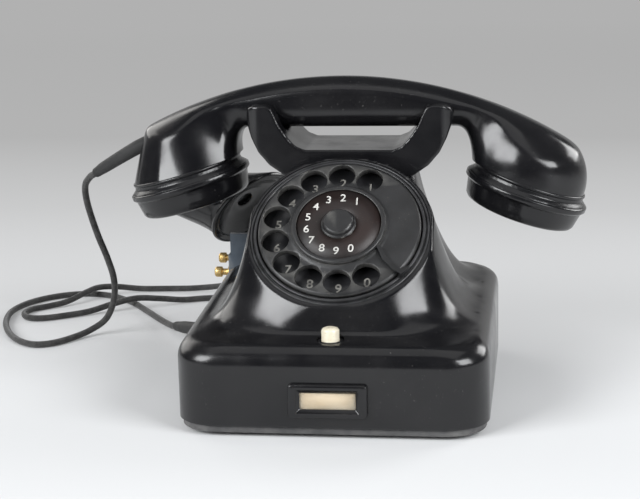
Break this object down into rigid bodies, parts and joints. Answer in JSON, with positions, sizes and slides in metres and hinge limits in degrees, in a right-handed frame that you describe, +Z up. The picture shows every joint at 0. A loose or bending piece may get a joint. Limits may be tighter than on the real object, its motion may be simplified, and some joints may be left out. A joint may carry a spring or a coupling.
{
  "type": "rotary desk telephone",
  "caption": "Black moulded desk telephone with a sloping rotary dial, a handset on a forked cradle and a second listening receiver hung on a bracket at the back.",
  "frame": {"origin": "on the table, midway between the four feet", "axes": "+X to the user's right along the handset, +Y to the rear, +Z up"},
  "size_m": [0.3368, 0.2743, 0.1523],
  "materials": {
    "bakelite": "polished moulded resin, lightly worn",
    "base_paint": "dull dark paint",
    "screw_steel": "turned, slightly dulled",
    "rubber": "matt black",
    "card": "aged paper card",
    "window": "clear celluloid",
    "button_cream": "smooth cream",
    "dial_enamel": "dark enamel with pale figures",
    "dial_grey": "satin dark grey with worn edges",
    "card_brown": "brown black card with pale figures",
    "stop_steel": "darkened steel",
    "steel": "plated steel",
    "brass": "lacquered, a little dull",
    "winding": "varnished winding",
    "can": "dull can",
    "moulded_brown": "brown moulding",
    "bracket_paint": "blue grey lacquer",
    "cord": "dark grey covered cord"
  },
  "bodies": {
    "base": {"housing": "bakelite", "label_frame": "bakelite", "button_collar": "bakelite", "dial_bezel": "bakelite", "base_plate": "base_paint", "base_screws": "screw_steel", "bracket_screws": "screw_steel", "rubber_feet": "rubber", "handset_cord_gland": "rubber", "line_grommet": "rubber", "label_card": "card", "label_window": "window", "dial_number_ring": "dial_enamel", "finger_stop": "stop_steel", "dial_frame": "steel", "ringer_frame": "steel", "hook_frame": "steel", "gong_posts": "steel", "gong_left": "brass", "gong_right": "brass", "terminal_screws": "brass", "cradle_guide": "brass", "binding_posts": "brass", "button_spring_set": "brass", "hook_contacts": "brass", "ringer_coils": "winding", "induction_coil": "winding", "capacitor": "can", "terminal_block": "moulded_brown", "hook_bracket": "bracket_paint", "handset_cord": "cord", "listener_cord": "cord"},
    "handset": {"handset_body": "bakelite", "transmitter_collar": "bakelite", "receiver_collar": "bakelite", "transmitter_cap": "bakelite", "receiver_cap": "bakelite", "transmitter_capsule": "steel", "receiver_capsule": "steel", "handset_cord_sleeve": "rubber"},
    "cradle": {"cradle": "bakelite", "cradle_stem": "steel"},
    "hook_lever": {"hook_lever": "steel"},
    "dial_rotor": {"finger_wheel": "dial_grey", "dial_card": "card_brown", "dial_card_ring": "dial_grey", "dial_centre_cap": "bakelite", "dial_shaft": "steel", "dial_gear": "brass"},
    "governor": {"governor": "brass"},
    "earth_button": {"earth_button": "button_cream"},
    "clapper": {"clapper": "steel"},
    "listener": {"listener_body": "bakelite", "listener_cap": "bakelite", "listener_capsule": "steel"}
  },
  "joints": [
    {"name": "handset_lift", "type": "slide", "parent": "base", "child": "handset", "axis": [0, 0, 1], "range_m": [0, 0.12]},
    {"name": "cradle_rise", "type": "slide", "parent": "base", "child": "cradle", "axis": [0, 0, 1], "range_m": [0, 0.005]},
    {"name": "hook_lever_turn", "type": "hinge", "parent": "base", "child": "hook_lever", "pos_m": [0, 0.019, 0.06], "axis": [1, 0, 0], "range_deg": [0, 9]},
    {"name": "dial_turn", "type": "hinge", "parent": "base", "child": "dial_rotor", "pos_m": [0, -0.0266, 0.088], "axis": [0, 0.6665, -0.7455], "range_deg": [0, 330], "stiffness_Nm_per_rad": 0.006, "springref_deg": -28.65},
    {"name": "governor_spin", "type": "hinge", "parent": "base", "child": "governor", "pos_m": [-0.01832, -0.01424, 0.06417], "axis": [0, 0.6665, -0.7455], "range_deg": [-1320.5, 0.5]},
    {"name": "button_push", "type": "slide", "parent": "base", "child": "earth_button", "axis": [0, 0, -1], "range_m": [0, 0.003], "stiffness_N_per_m": 300, "springref_m": -0.001},
    {"name": "clapper_swing", "type": "hinge", "parent": "base", "child": "clapper", "pos_m": [0, 0.009, 0.022], "axis": [0, 0, 1], "range_deg": [-2.5, 2.5]},
    {"name": "listener_lift", "type": "slide", "parent": "base", "child": "listener", "axis": [0.48, -0.36, 0.8], "range_m": [0, 0.03]}
  ],
  "couplings": [
    {"joint": "cradle_rise", "follows": "handset_lift", "ratio": 0.041667},
    {"joint": "hook_lever_turn", "follows": "handset_lift", "rad_per_m": 1.308},
    {"joint": "governor_spin", "follows": "dial_turn", "ratio": -4}
  ]
}
